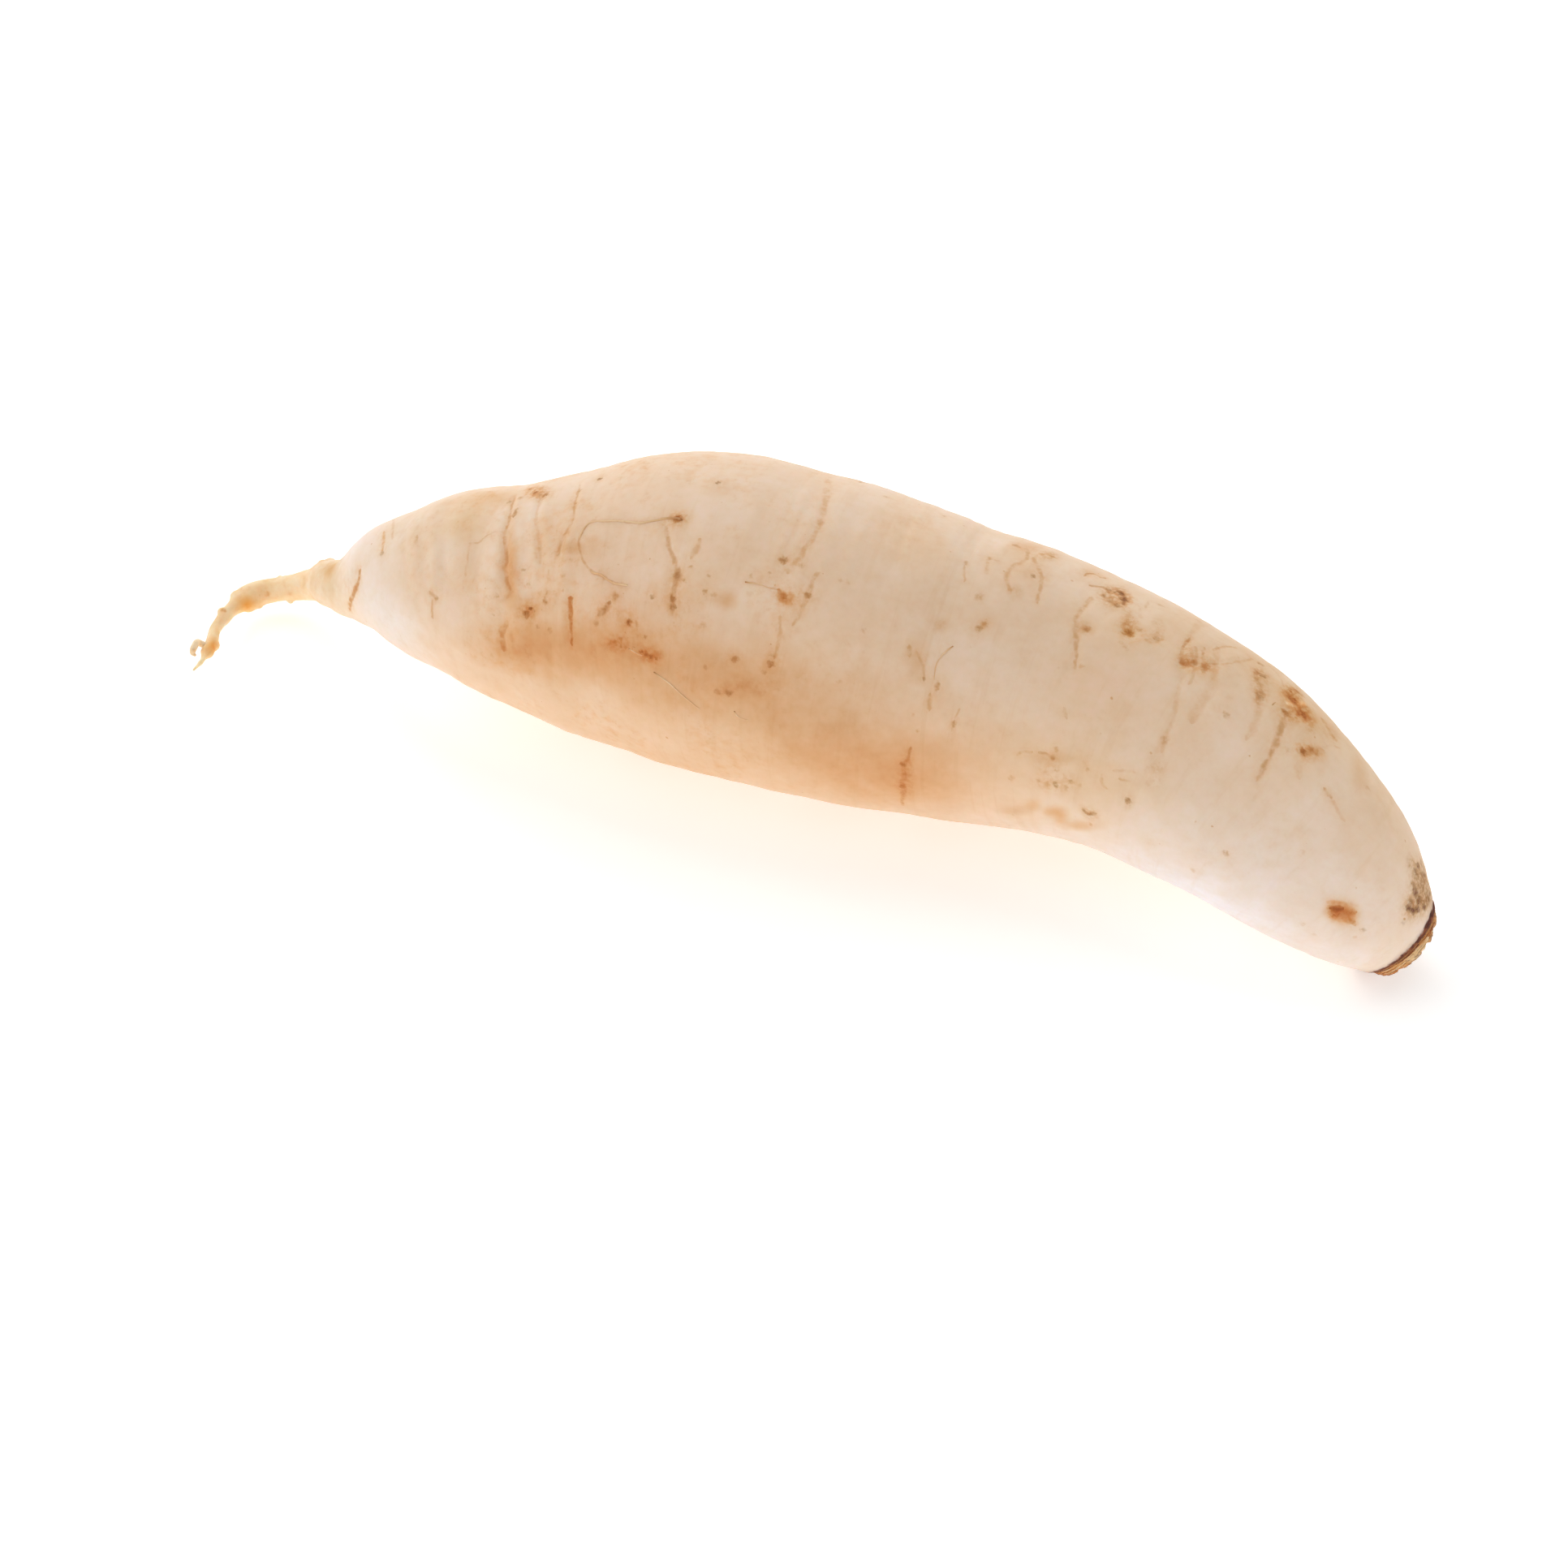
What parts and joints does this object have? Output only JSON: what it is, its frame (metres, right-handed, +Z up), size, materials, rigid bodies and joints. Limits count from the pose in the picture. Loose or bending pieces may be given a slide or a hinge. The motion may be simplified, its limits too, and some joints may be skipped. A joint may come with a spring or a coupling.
{
  "type": "white radish root",
  "caption": "Whole white radish root with a thin bent tail and trimmed leaf-stalk stubs on its crown, lying on its side.",
  "frame": {"origin": "bottom centre of the bounding box, on the surface that the root lies on", "axes": "+Z up, +X along the root from the tail towards the crown, so the trimmed leaf stubs face +X and down; -Y is the side shown in the picture"},
  "size_m": [0.3217, 0.0868, 0.078],
  "materials": {
    "root_skin": "moist thin vegetable skin, satin, translucent, with brown scars and fine rings",
    "stub_tissue": "dried fibrous cut leaf stalk, matte",
    "bud_tissue": "dried bud, matte"
  },
  "bodies": {
    "root": {"taproot": "root_skin", "outer_leaf_stub_1": "stub_tissue", "outer_leaf_stub_2": "stub_tissue", "outer_leaf_stub_3": "stub_tissue", "outer_leaf_stub_4": "stub_tissue", "outer_leaf_stub_5": "stub_tissue", "middle_leaf_stub_1": "stub_tissue", "middle_leaf_stub_2": "stub_tissue", "middle_leaf_stub_3": "stub_tissue", "middle_leaf_stub_4": "stub_tissue", "inner_leaf_stub_1": "stub_tissue", "inner_leaf_stub_2": "stub_tissue", "central_bud": "bud_tissue"}
  },
  "joints": []
}
